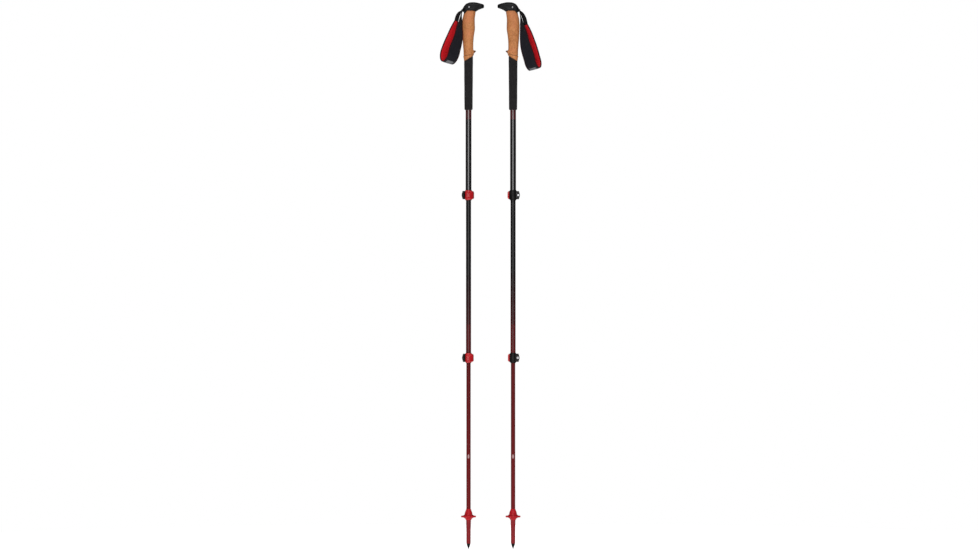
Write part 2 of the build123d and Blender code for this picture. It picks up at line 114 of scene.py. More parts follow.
# ---------------------------------------------------------------- meshes
class Shape:
    """Closed surfaces in one pole's frame, in millimetres, that become one object."""

    def __init__(self):
        self.points, self.faces, self.weave, self.shade, self.material = [], [], [], [], []
        self.count = 0

    def add_points(self, points, weave, shade):
        self.points.append(points)
        self.weave.append(weave)
        self.shade.append(shade)
        self.count += len(points)

    def grid(self, rows, weave=None, shade=None, loop=False, material=0):
        """Adds a surface through the points rows[i][j], where every row is a closed ring.

        With loop the last row joins the first; without it each end has a cap.
        """
        rows = np.asarray(rows, float)
        n, m = rows.shape[:2]
        weave = np.zeros((n, m, 3)) if weave is None else np.asarray(weave, float)
        shade = np.zeros((n, m)) if shade is None else np.asarray(shade, float)
        start = self.count
        self.add_points(rows.reshape(-1, 3), weave.reshape(-1, 3), shade.reshape(-1))
        faces = []
        for i in range(n if loop else n - 1):
            here = start + i * m
            ahead = start + (i + 1) % n * m
            for j in range(m):
                k = (j + 1) % m
                faces.append((here + j, here + k, ahead + k, ahead + j))
        if not loop:
            for i in (0, n - 1):
                here = start + i * m
                faces += [(here + j, here + (j + 1) % m, self.count) for j in range(m)]
                self.add_points(rows[i].mean(axis=0, keepdims=True), weave[i].mean(axis=0, keepdims=True),
                                shade[i].mean(keepdims=True))
        self.faces += faces
        self.material += [material] * len(faces)

    def turned(self, profile, columns, material=0, wobble=None):
        """Adds a solid of revolution about the pole's axis through (radius, height) points."""
        angle = around(columns)
        r, z = np.array(profile, float).T[..., None] * np.ones(columns)
        if wobble is not None:
            r = r * (1 + wobble(angle, z))
        self.grid(polar(r, angle, z), material=material)

    def build(self, name, side, materials, mirrored=False, subdivide=0, sharp=None):
        points = np.concatenate(self.points) * MM
        if side == "right":
            points[:, 0] *= -1
            if not mirrored:
                points[:, 1] *= -1
        points[:, 0] += AXIS_X[side]
        mesh = bpy.data.meshes.new(name)
        mesh.from_pydata(points.tolist(), [], self.faces)
        mesh.polygons.foreach_set("material_index", self.material)
        mesh.attributes.new("weave", "FLOAT_VECTOR", "POINT").data.foreach_set(
            "vector", np.concatenate(self.weave).astype(np.float32).ravel())
        mesh.attributes.new("shade", "FLOAT", "POINT").data.foreach_set(
            "value", np.concatenate(self.shade).astype(np.float32))
        bm = bmesh.new()
        bm.from_mesh(mesh)
        bmesh.ops.recalc_face_normals(bm, faces=bm.faces)
        bm.to_mesh(mesh)
        bm.free()
        mesh.shade_smooth()
        if sharp is not None:
            mesh.set_sharp_from_angle(angle=radians(sharp))
        obj = bpy.data.objects.new(name, mesh)
        bpy.context.scene.collection.objects.link(obj)
        for material in materials:
            mesh.materials.append(material)
        if subdivide:
            modifier = obj.modifiers.new("smooth", "SUBSURF")
            modifier.levels = modifier.render_levels = subdivide
        return obj


def settle(obj):
    """Applies an object's modifiers, so that its mesh is final."""
    graph = bpy.context.evaluated_depsgraph_get()
    mesh = bpy.data.meshes.new_from_object(obj.evaluated_get(graph))
    obj.modifiers.clear()
    obj.data = mesh


def finish_piece(obj, side, body, replaced=None):
    """Puts a piece on one pole's body and in place of a CAD node."""
    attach(obj, f"{side}_{body}")
    if replaced:
        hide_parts(f"{side}_{replaced}")
    return obj


def piece(shape, side, name, body, slot, finishes, replaced=None, **how):
    """Builds a shape as a finished piece."""
    obj = shape.build(f"{side}_{name}", side, [FINISH[finish] for finish in finishes], **how)
    return finish_piece(obj, side, body, replaced)


# ---------------------------------------------------------------- materials
class Finish:
    """A procedural material, put together around one Principled shader."""

    def __init__(self, name, **sockets):
        self.material = bpy.data.materials.new(name)
        self.material.use_nodes = True
        tree = self.material.node_tree
        self.nodes, self.links = tree.nodes, tree.links
        self.shader = self.nodes["Principled BSDF"]
        for socket, value in sockets.items():
            self.shader.inputs[socket.replace("_", " ")].default_value = value
        self.place = self.nodes.new("ShaderNodeTexCoord").outputs["Object"]

    def put(self, socket, value):
        if isinstance(value, bpy.types.NodeSocket):
            self.links.new(value, socket)
        else:
            socket.default_value = value

    def set(self, socket, value):
        self.put(self.shader.inputs[socket], value)

    def node(self, kind, **inputs):
        """A new node, its inputs set to values or linked to sockets; _ stands for a space."""
        node = self.nodes.new(kind)
        for socket, value in inputs.items():
            self.put(node.inputs[socket.replace("_", " ")], value)
        return node

    def stretch(self, scale):
        return self.node("ShaderNodeMapping", Vector=self.place, Scale=scale).outputs["Vector"]

    def noise(self, scale, detail=2.0, roughness=0.5, vector=None):
        node = self.node("ShaderNodeTexNoise", Vector=vector or self.place, Scale=scale, Detail=detail,
                         Roughness=roughness)
        return node.outputs["Fac"]

    def cells(self, scale, output="Color", feature="F1", vector=None):
        node = self.node("ShaderNodeTexVoronoi", Vector=vector or self.place, Scale=scale)
        node.feature = feature
        return node.outputs[output]

    def ramp(self, value, *stops):
        """A colour or a grey by value, through (position, colour or grey) stops."""
        node = self.node("ShaderNodeValToRGB", Fac=value)
        band = node.color_ramp
        while len(band.elements) < len(stops):
            band.elements.new(0.5)
        for element, (position, colour) in zip(band.elements, stops):
            element.position = position
            element.color = (*(colour if hasattr(colour, "__len__") else (colour,) * 3), 1)
        return node.outputs["Color"]

    def mix(self, share, a, b):
        node = self.nodes.new("ShaderNodeMix")
        node.data_type = "RGBA"
        self.put(node.inputs[0], share)
        for socket, value in ((node.inputs[6], a), (node.inputs[7], b)):
            self.put(socket, (*value, 1) if isinstance(value, tuple) else value)
        return node.outputs[2]

    def maths(self, operation, *values):
        node = self.nodes.new("ShaderNodeMath")
        node.operation = operation
        for socket, value in zip(node.inputs, values):
            self.put(socket, value)
        return node.outputs[0]

    def within(self, value, low, high, kind="SMOOTHSTEP"):
        """0 below low, 1 above high, smooth or straight between."""
        node = self.node("ShaderNodeMapRange", Value=value, From_Min=low, From_Max=high)
        node.interpolation_type = kind
        return node.outputs["Result"]

    def parts(self, vector=None):
        return self.node("ShaderNodeSeparateXYZ", Vector=vector or self.place).outputs

    def attribute(self, name, output="Fac"):
        node = self.nodes.new("ShaderNodeAttribute")
        node.attribute_name = name
        return node.outputs[output]

    def bump(self, height, distance):
        """Raises the surface by `distance` metres times the height."""
        node = self.node("ShaderNodeBump", Height=height, Distance=distance)
        before = self.shader.inputs["Normal"]
        if before.is_linked:
            self.links.new(before.links[0].from_socket, node.inputs["Normal"])
        self.links.new(node.outputs["Normal"], before)

    def threads(self, along, across):
        """A plain weave from the weave attribute: 0 in the gaps, 1 on each thread's crown."""
        axes = self.parts(self.attribute("weave", "Vector"))
        a = self.maths("SINE", self.maths("MULTIPLY", axes[0], 2 * pi / along))
        b = self.maths("SINE", self.maths("MULTIPLY", axes[1], 2 * pi / across))
        return self.maths("MULTIPLY_ADD", self.maths("MULTIPLY", a, b), 0.5, 0.5)


def cork_finish():
    f = Finish("cork", Roughness=0.62, Specular_IOR_Level=0.22)
    grains = f.cells(430.0)
    tint = f.parts(grains)[0]
    large = f.cells(170.0, vector=f.stretch((1, 1, 0.8)))
    tint = f.maths("MULTIPLY", tint, 0.6)
    tint = f.maths("ADD", tint, f.maths("MULTIPLY", f.parts(large)[1], 0.4))
    colour = f.ramp(tint, (0.0, (0.33, 0.118, 0.036)), (0.35, (0.44, 0.170, 0.056)),
                    (0.65, (0.50, 0.202, 0.071)), (1.0, (0.585, 0.262, 0.100)))
    colour = f.mix(f.within(f.noise(38.0, 3.0), 0.35, 0.75), colour, (0.525, 0.188, 0.075))
    streak = f.noise(60.0, 3.0, vector=f.stretch((1, 1, 0.12)))
    colour = f.mix(f.maths("MULTIPLY", f.within(streak, 0.5, 0.72), 0.4), colour, (0.36, 0.14, 0.05))
    flecks = f.within(f.noise(620.0, 1.0), 0.66, 0.72)
    colour = f.mix(f.maths("MULTIPLY", flecks, 0.75), colour, (0.15, 0.055, 0.022))
    # painted shade from the shade attribute: in the crease, under the cap and along the foot; the hook is
    # darker too
    colour = f.mix(f.attribute("shade"), colour, (0.105, 0.042, 0.02))
    f.set("Base Color", colour)
    f.set("Roughness", f.ramp(f.noise(300.0, 2.0), (0.3, 0.55), (0.8, 0.75)))
    edge = f.cells(430.0, "Distance", "DISTANCE_TO_EDGE")
    f.bump(f.within(edge, 0.0, 0.12), 0.00006)
    f.bump(f.maths("SUBTRACT", 1.0, flecks), 0.00018)
    f.bump(f.noise(900.0, 3.0), 0.00006)
    return f.material


def foam_finish():
    f = Finish("foam", Roughness=0.85, Specular_IOR_Level=0.1)
    f.shader.inputs["Sheen Weight"].default_value = 0.04
    f.shader.inputs["Sheen Roughness"].default_value = 0.6
    pores = f.cells(1100.0, "Distance")
    colour = f.ramp(f.noise(140.0, 3.0), (0.3, (0.0125, 0.0112, 0.0117)),
                    (0.75, (0.0205, 0.0190, 0.0196)))
    colour = f.mix(f.within(pores, 0.75, 0.2), colour, (0.009, 0.0085, 0.009))
    # painted shade at the top, under the cork, from the shade attribute
    colour = f.mix(f.attribute("shade"), colour, (0.007, 0.006, 0.006))
    f.set("Base Color", colour)
    f.bump(f.within(pores, 0.2, 0.6), 0.00012)
    f.bump(f.noise(160.0, 3.0), 0.0001)
    return f.material


def rubber_finish():
    f = Finish("grip_rubber", Specular_IOR_Level=0.07)
    colour = f.ramp(f.noise(90.0, 3.0), (0.3, (0.0034, 0.0034, 0.0038)),
                    (0.8, (0.0065, 0.0065, 0.0072)))
    # the raised flank panels, from the shade attribute, are painted lighter: a painted sheen
    colour = f.mix(f.attribute("shade"), colour, (0.017, 0.017, 0.018))
    f.set("Base Color", colour)
    f.set("Roughness", f.ramp(f.noise(220.0, 3.0), (0.3, 0.34), (0.8, 0.5)))
    f.bump(f.noise(1500.0, 2.0), 0.00003)
    f.bump(f.cells(1500.0, "Distance"), 0.00004)
    return f.material


def nylon_finish(name, colour, roughness=0.42, speckle=0.25, grain=1300.0, specular=0.22):
    """Glass-filled moulded plastic: fine pebbled skin and faint flow marks."""
    f = Finish(name, Specular_IOR_Level=specular)
    flow = f.noise(45.0, 4.0, vector=f.stretch((1, 1, 2.2)))
    dark = tuple(c * (1 - speckle) for c in colour)
    pale = tuple(min(1.0, c * (1 + speckle) + 0.002) for c in colour)
    f.set("Base Color", f.ramp(flow, (0.3, dark), (0.7, pale)))
    gloss = f.ramp(f.noise(grain / 5, 2.0), (0.3, roughness - 0.07), (0.8, roughness + 0.1))
    f.set("Roughness", gloss)
    f.bump(f.noise(grain, 3.0), 0.00004)
    return f.material


def lever_finish():
    f = Finish("red_lever", Specular_IOR_Level=0.18)
    flow = f.noise(70.0, 3.0)
    colour = f.ramp(flow, (0.3, (0.32, 0.006, 0.010)), (0.75, (0.40, 0.011, 0.015)))
    # painted highlight: the top and bottom edges and the thumb lip, where the shade attribute is set, are
    # lightened in patches
    painted_highlight = f.maths("MULTIPLY", f.attribute("shade"), f.within(f.noise(420.0, 4.0), 0.42, 0.62))
    colour = f.mix(painted_highlight, colour, (0.62, 0.11, 0.11))
    f.set("Base Color", colour)
    f.set("Roughness", f.ramp(f.noise(500.0, 3.0), (0.3, 0.22), (0.8, 0.36)))
    f.bump(f.noise(260.0, 2.0), 0.00003)
    return f.material


def metal_finish(name, colour, roughness):
    """Turned metal: fine marks around the axis and slight staining."""
    f = Finish(name, Metallic=1.0, Roughness=roughness)
    stain = f.noise(240.0, 4.0)
    f.set("Base Color", f.ramp(stain, (0.3, tuple(c * 0.75 for c in colour)), (0.8, colour)))
    marks = f.noise(900.0, 2.0, vector=f.stretch((0.3, 0.3, 3)))
    f.set("Roughness", f.ramp(marks, (0.3, roughness - 0.08), (0.8, roughness + 0.12)))
    f.bump(marks, 0.00001)
    return f.material


def tube_finish(name, stops, roughness, specular, spots=()):
    """Anodised tube, coloured by height through (height, colour) stops.

    spots are plain pale ovals on its front: (height, half height, half width, colour), in millimetres.
    """
    f = Finish(name, Specular_IOR_Level=specular)
    x, y, z = f.parts()
    low, high = stops[0][0], stops[-1][0]
    share = f.within(z, low * MM, high * MM, "LINEAR")
    colour = f.ramp(share, *[((height - low) / (high - low), tone) for height, tone in stops])
    haze = f.noise(30.0, 4.0, vector=f.stretch((1, 1, 0.25)))
    colour = f.mix(f.maths("MULTIPLY", f.within(haze, 0.4, 0.8), 0.12), colour, (0.0, 0.0, 0.0))
    scuff = f.within(f.noise(900.0, 4.0, 0.7, vector=f.stretch((1, 1, 0.06))), 0.68, 0.76)
    colour = f.mix(f.maths("MULTIPLY", scuff, 0.005), colour, (0.5, 0.48, 0.47))
    for height, half_height, half_width, tone in spots:
        for side in SIDES:
            dx = f.maths("DIVIDE", f.maths("SUBTRACT", x, AXIS_X[side]), half_width * MM)
            dz = f.maths("DIVIDE", f.maths("SUBTRACT", z, height * MM), half_height * MM)
            far = f.maths("ADD", f.maths("POWER", f.maths("ABSOLUTE", dx), 2.0),
                          f.maths("POWER", f.maths("ABSOLUTE", dz), 2.0))
            inside = f.maths("MULTIPLY", f.within(far, 1.1, 0.9), f.maths("LESS_THAN", y, 0.0))
            colour = f.mix(inside, colour, tone)
    f.set("Base Color", colour)
    brushed = f.noise(1400.0, 2.0, vector=f.stretch((1, 1, 0.02)))
    f.set("Roughness", f.ramp(brushed, (0.3, roughness - 0.02), (0.8, roughness + 0.02)))
    f.bump(brushed, 0.000004)
    return f.material


def cloth_finish(name, gap, crown, along, across, height, sheen=0.3, roughness=0.8, fuzz=0.0):
    """Woven or knitted cloth, from the colour of its gaps and of its threads' crowns.

    A weave repeats every along and across metres and stands height metres proud.
    """
    f = Finish(name, Roughness=roughness, Specular_IOR_Level=0.1)
    f.shader.inputs["Sheen Weight"].default_value = sheen
    f.shader.inputs["Sheen Roughness"].default_value = 0.45
    f.shader.inputs["Sheen Tint"].default_value = (*[min(1.0, 0.3 + c) for c in crown], 1)
    thread = f.threads(along, across)
    colour = f.mix(thread, gap, crown)
    shade = f.noise(45.0, 4.0)
    colour = f.mix(f.maths("MULTIPLY", f.within(shade, 0.35, 0.75), 0.35), colour, gap)
    # painted shade where the shade attribute is set, along the lining's edges by the seams
    colour = f.mix(f.attribute("shade"), colour, tuple(c * 0.35 for c in gap))
    f.set("Base Color", colour)
    f.bump(thread, height)
    if fuzz:
        f.bump(f.noise(2200.0, 3.0, 0.7), fuzz)
    return f.material


FINISH = {
    "cork": cork_finish(),
    "foam": foam_finish(),
    "grip_rubber": rubber_finish(),
    "steel": metal_finish("steel", (0.30, 0.30, 0.31), 0.42),
    "carbide": nylon_finish("tip_black", (0.0028, 0.0028, 0.003), 0.4, specular=0.08),
    "carbide_point": metal_finish("carbide_point", (0.32, 0.32, 0.33), 0.36),
    "upper_tube": tube_finish("upper_tube", [
        (900, (0.0060, 0.0055, 0.0062)), (1099, (0.0065, 0.0058, 0.0065)),
        (1100.5, (0.055, 0.010, 0.012)), (1380, (0.055, 0.010, 0.012))],
        roughness=0.24, specular=0.62),
    "middle_tube": tube_finish("middle_tube", [
        (480, (0.085, 0.007, 0.008)), (574, (0.066, 0.007, 0.008)), (576, (0.036, 0.005, 0.006)),
        (677, (0.012, 0.0045, 0.005)), (720, (0.0075, 0.0070, 0.0075)),
        (980, (0.0075, 0.0070, 0.0075))],
        roughness=0.3, specular=0.17),
    "lower_tube": tube_finish("lower_tube", [
        (60, (0.130, 0.008, 0.010)), (180, (0.112, 0.008, 0.009)), (300, (0.098, 0.0075, 0.0085)),
        (500, (0.082, 0.0075, 0.0085)), (570, (0.075, 0.0075, 0.0085))],
        roughness=0.36, specular=0.05, spots=[(237, 5.2, 2.3, (0.35, 0.22, 0.22))]),
    "black_plastic": nylon_finish("black_plastic", (0.0048, 0.0045, 0.0045), 0.4, specular=0.1),
    "cam_black": nylon_finish("cam_black", (0.0055, 0.0045, 0.0042), 0.38, specular=0.1),
    "red_lever": lever_finish(),
    "red_basket": nylon_finish("red_basket", (0.34, 0.007, 0.012), 0.36, 0.15, specular=0.1),
    "red_ferrule": nylon_finish("red_ferrule", (0.182, 0.0100, 0.0135), 0.42, 0.18, specular=0.1),
    "webbing": cloth_finish("webbing", (0.0045, 0.0042, 0.0048), (0.016, 0.0145, 0.016),
                            0.0013, 0.0016, 0.00016, sheen=0.05),
    "webbing_hidden": nylon_finish("webbing_hidden", (0.012, 0.011, 0.012), 0.8, 0.3, 2000.0),
    "strap_outer": cloth_finish("strap_outer", (0.0065, 0.0062, 0.0085), (0.0130, 0.0126, 0.0175),
                                0.0009, 0.0009, 0.00008, sheen=0.05, fuzz=0.00005),
    "strap_lining": cloth_finish("strap_lining", (0.40, 0.006, 0.010), (0.60, 0.011, 0.017),
                                 0.0011, 0.0010, 0.00009, sheen=0.1, roughness=0.75, fuzz=0.00008),
    "binding": cloth_finish("binding", (0.014, 0.0022, 0.0035), (0.046, 0.0042, 0.0065),
                            0.0009, 0.0013, 0.0001, sheen=0.05),
    "thread": cloth_finish("thread", (0.006, 0.0055, 0.006), (0.02, 0.018, 0.019),
                           0.0005, 0.0005, 0.00003),
    "label": cloth_finish("label", (0.08, 0.08, 0.085), (0.19, 0.19, 0.20),
                          0.0007, 0.0007, 0.00004, sheen=0.05),
    "label_edge": cloth_finish("label_edge", (0.012, 0.012, 0.013), (0.04, 0.04, 0.042),
                               0.0007, 0.0007, 0.00004),
}


def wear(finish, *nodes):
    """Gives CAD nodes of both poles a finish."""
    for side in SIDES:
        for node in nodes:
            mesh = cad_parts[f"{side}_{node}"].data
            mesh.materials.clear()
            mesh.materials.append(FINISH[finish])


wear("upper_tube", "upper_shaft")
wear("middle_tube", "middle_shaft")
wear("lower_tube", "lower_shaft")
wear("black_plastic", "middle_guide_plug", "lower_guide_plug", "upper_sleeve", "lower_sleeve",
     "upper_clamp", "lower_clamp")
wear("cam_black", "upper_cam", "lower_cam")
wear("steel", "upper_clamp_screw", "lower_clamp_screw", "upper_lever_pin", "lower_lever_pin")
wear("webbing_hidden", "strap_anchor")


# ---------------------------------------------------------------- grip
# the cap: distance along X, height of the top, height of the underside, half width
HEAD = [
    (-16.8, 1381.7, 1376.1, 7.7), (-13.6, 1386.5, 1373.1, 9.1), (-10.6, 1391.3, 1371.2, 10.3),
    (-5.0, 1396.7, 1367.0, 12.7), (6.0, 1399.8, 1364.0, 14.4), (14.0, 1400.0, 1369.3, 13.7),
    (21.0, 1399.1, 1377.2, 12.1), (28.0, 1397.6, 1381.2, 10.1), (33.5, 1396.0, 1383.3, 8.4),
    (37.2, 1394.6, 1384.4, 6.6), (39.2, 1393.1, 1385.6, 4.6), (39.8, 1391.5, 1387.0, 2.4),
]
CAP_MIDDLE, CAP_REACH = 11.5, 28.25
PIN_X, PIN_Z = 1.5, 1387.0
# the joint between cap and cork: distance along X, height
SEAT = [(-40.0, 1371.5), (-9.0, 1371.5), (-4.0, 1378.0), (12.0, 1378.0), (19.0, 1375.5), (40.0, 1375.5)]
# the slot for the strap, cut into the cap's rear: distance along X, height
SLOT = [(-30, 1360), (-12, 1360), (-11.9, 1377.6), (-4, 1381.3), (-5.4, 1386.3), (-13.6, 1382.9),
        (-16, 1382.7), (-30, 1382.7)]
SLOT_HALF_WIDTH = 6.9
# the hole through cork and foam that the tube sits in
BORE = 7.55


def seat_height(x):
    return np.interp(x, *np.array(SEAT).T)


def head_surface(x, angle):
    """Points of the cap, and their shade, at distances along X and angles about it, 0 at the top."""
    top, under, half = (table_curve(HEAD, column, x) for column in (1, 2, 3))
    c, s = np.cos(angle), np.sin(angle)
    fullness = 2 / 2.2
    y = half * np.sign(s) * np.abs(s) ** fullness
    z = (top + under) / 2 + (top - under) / 2 * np.sign(c) * np.abs(c) ** fullness

    # a raised panel on each flank, as far as it is inside the nearest of its four borders
    panel_rise, seat = 0.55, seat_height(x)
    clearance = np.maximum(under, seat)
    inside = np.minimum.reduce([top - z - 3.9, z - clearance - 2.4, (34.0 - x) * 0.55, x + 9.0])
    raised = smoothstep(-0.45, 0.45, inside)
    y = y + np.sign(y) * panel_rise * raised

    dimple_depth = 0.8
    dimple = 1 - smoothstep(2.2, 3.2, np.hypot(x - PIN_X, z - PIN_Z))
    y = y - np.sign(y) * dimple_depth * dimple * (np.abs(y) > 6)

    groove_depth, groove_pitch = 0.28, 2.1
    crown = smoothstep(0.72, 0.86, c) * smoothstep(-8, -3, x) * smoothstep(33, 26, x)
    grooves = smoothstep(0.75, 0.98, np.sin(pi * x / groove_pitch) ** 2)
    z = z - groove_depth * crown * grooves
    z = np.maximum(z, seat + 0.05)
    # the panel's share is also returned as shade, which paints the panel lighter as a painted sheen
    return np.stack([x, y, z], axis=-1), raised * 0.75


def grip_cap(side):
    """The rubber cap, with its slot cut out and its ridged crown."""
    rows, columns = 84, 112
    x = CAP_MIDDLE - CAP_REACH * np.cos(np.linspace(0, pi, rows))
    points, shade = head_surface(x[:, None] * np.ones(columns), around(columns) * np.ones((rows, 1)))
    shape = Shape()
    shape.grid(points, shade=shade)
    cap = shape.build(f"{side}_cap", side, [FINISH["grip_rubber"]], subdivide=1)
    settle(cap)
    cutter = Shape()
    cutter.grid([[(x, y, z) for x, z in SLOT] for y in (-SLOT_HALF_WIDTH, SLOT_HALF_WIDTH)])
    knife = cutter.build(f"{side}_slot_knife", side, [FINISH["grip_rubber"]])
    knife.data.shade_flat()
    cut = cap.modifiers.new("slot", "BOOLEAN")
    cut.object = knife
    cut.solver = "EXACT"
    settle(cap)
    bpy.data.objects.remove(knife)
    cap.data.shade_smooth()
    cap.data.set_sharp_from_angle(angle=radians(38))
    return finish_piece(cap, side, "upper_section", "grip_head")


def pin(side):
    """The steel cross pin, with a low domed head and a round recess at each end."""
    head = [(0.8, 13.3), (0.8, 14.0), (1.2, 14.1), (1.6, 13.95), (1.9, 13.7), (1.95, 13.2), (1.8, 13.0)]
    stations = [(r, -y) for r, y in head] + [(r, y) for r, y in reversed(head)]
    rows = [[(PIN_X + r * cos(a), y, PIN_Z + r * sin(a)) for a in around(36)] for r, y in stations]
    shape = Shape()
    shape.grid(rows)
    return piece(shape, side, "cross_pin", "upper_section", "steel", ["steel"], "strap_pin",
                 sharp=40)


# the cork: height, reach in front of the axis, reach behind it
CORK = [
    (1240.0, 11.0, 10.6), (1262.0, 11.6, 12.6), (1276.0, 12.2, 13.0), (1292.0, 12.2, 14.2),
    (1312.0, 13.6, 15.6), (1334.0, 16.4, 16.6), (1354.0, 15.8, 15.8), (1368.0, 17.2, 13.0),
    (1378.0, 18.6, 10.4),
]
SLIMNESS = 0.88
# height, how far the finger hook reaches out of the front
HOOK = [
    (1262.5, 0.0), (1266.0, 0.9), (1269.0, 2.6), (1272.0, 5.0), (1274.0, 6.7), (1275.2, 6.9),
    (1275.9, 5.6), (1276.3, 3.0), (1276.9, 1.0), (1279.0, 0.0),
]
HOOK_HALF_WIDTH = 6.3
FOAM_FOOT, FOAM_RADIUS = 1124.0, 10.42
# how much wider the foam gets for each millimetre up
FOAM_TAPER = 1.1 / 150.0


def cork_ring(z, angle):
    """The cork's outline at a height: distances along X and along Y at an angle."""
    front, rear = table_curve(CORK, 1, z), table_curve(CORK, 2, z)
    middle, reach = (front - rear) / 2, (front + rear) / 2
    return middle + reach * np.cos(angle), SLIMNESS * reach * np.sin(angle)


def foot_height(x):
    """The slanted joint between cork and foam."""
    return 1254.5 + 0.54 * x + 0.006 * x * x


def crease_height(x):
    """The line that runs from the hook round to the flare behind."""
    return 1262.4 + 0.0139 * np.maximum(x + 6.0, 0.0) ** 2


def cork(side):
    """The shaped cork, with its finger hook and a crease below it, painted shade in the crease, under the
    cap and along the foot, and a darker hook.
    """
    columns, radius = 144, 12.0
    angle = around(columns)
    x0 = radius * np.cos(angle)
    low, crease = foot_height(x0), crease_height(x0)
    high = np.full(columns, 1378.0)
    for _ in range(6):
        high = seat_height(cork_ring(high, angle)[0])

    # rows from the foot to just under the crease, across it, and on up, closer at the hook
    under, over = crease - 1.0, crease + 2.2
    t = np.linspace(0, 1, 104)[1:, None]
    z = np.concatenate([
        low + (under - low) * np.linspace(0, 1, 16)[:, None],
        under + (over - under) * np.linspace(0, 1, 13)[1:, None],
        over + (high - over) * (0.35 * t + 0.65 * t**1.7),
    ])
    theta = angle * np.ones_like(z)
    x, y = cork_ring(z, theta)

    below = crease - z
    lip = smoothstep(-0.7, 0.5, below) * (1 - smoothstep(1.0, 8.0, below))
    groove = smoothstep(-2.6, -0.9, below) * (1 - smoothstep(-0.9, 0.3, below))
    swell = 1 + (0.75 * lip - 0.45 * groove) / radius
    shrink = 1 - 0.5 / radius * smoothstep(2.0, 0.0, z - low)
    x, y = x * swell * shrink, y * swell * shrink

    front = np.clip(1 - (y / HOOK_HALF_WIDTH) ** 2, 0, 1) ** 0.55 * (np.cos(theta) > 0)
    hook = smooth_curve(HOOK, z) * front
    x = x + hook
    dents = 0.09 * ripple(theta * 1.1, z / 16.0, 5)
    x, y = x + dents * np.cos(theta), y + dents * np.sin(theta)

    # painted shade: in the groove above the crease, along the foot where the cork meets the foam and
    # along the top under the cap; the hook is also darker where it stands out furthest
    foot_shade = smoothstep(2.3 + 1.1 * np.cos(theta), 0.2, z - low)
    rim = smoothstep(2.5, 0.0, high - z)
    shade = 0.62 * groove + 0.95 * smoothstep(1.2, 4.2, hook) + 0.85 * foot_shade + 0.35 * rim
    bare = np.zeros((1, columns))
    shade = np.concatenate([bare, np.clip(shade, 0, 0.95), bare])
    rows = np.concatenate([
        polar(BORE, angle, low + 0.05)[None], np.stack([x, y, z], axis=-1),
        polar(BORE, angle, high - 0.05)[None],
    ])
    shape = Shape()
    shape.grid(rows, shade=shade, loop=True)
    return piece(shape, side, "cork", "upper_section", "cork", ["cork"], "cork_grip", sharp=60)


def foam(side):
    """The foam sleeve under the cork, with rounded ends and a slightly uneven skin."""
    columns = 112
    angle = around(columns)
    top = foot_height(11.3 * np.cos(angle)) - 0.15
    straight = FOAM_FOOT + 2.2
    top_radius = FOAM_RADIUS + (top - FOAM_FOOT) * FOAM_TAPER
    rings = [(0.0, BORE), (0.0, 8.2), (0.25, 9.2), (0.9, 9.95), (2.2, 10.4)]
    rings = [(FOAM_FOOT + rise, r) for rise, r in rings]
    for t in np.linspace(0, 1, 60)[1:]:
        z = straight + (top - 1.3 - straight) * t
        rings.append((z, FOAM_RADIUS + (z - FOAM_FOOT) * FOAM_TAPER))
    rings += [(top - drop, top_radius - inset) for drop, inset in ((0.7, 0.12), (0.25, 0.45), (0.0, 1.1))]
    rings.append((top, BORE))
    z, r = (np.array([ring[k] * np.ones(columns) for ring in rings]) for k in (0, 1))
    body = smoothstep(FOAM_FOOT + 2, FOAM_FOOT + 8, z) * smoothstep(0, 4, top - z)
    r = r + 0.10 * body * ripple(angle * 0.9, z / 24.0, 9)
    # painted shade along the top, just under the cork
    shade = 0.8 * smoothstep(1.0, 0.1, top - z) * (r > 9)
    shape = Shape()
    shape.grid(polar(r, angle, z), shade=shade, loop=True)
    obj = piece(shape, side, "foam", "upper_section", "foam", ["foam"], "foam_grip")
    return obj


# ---------------------------------------------------------------- levers
LEVER_HALF_HEIGHT = 12.5
# each lever's middle height, and its inner and outer radius
LEVERS = {"upper": (906.0, 10.4, 13.6), "lower": (489.5, 9.4, 12.6)}


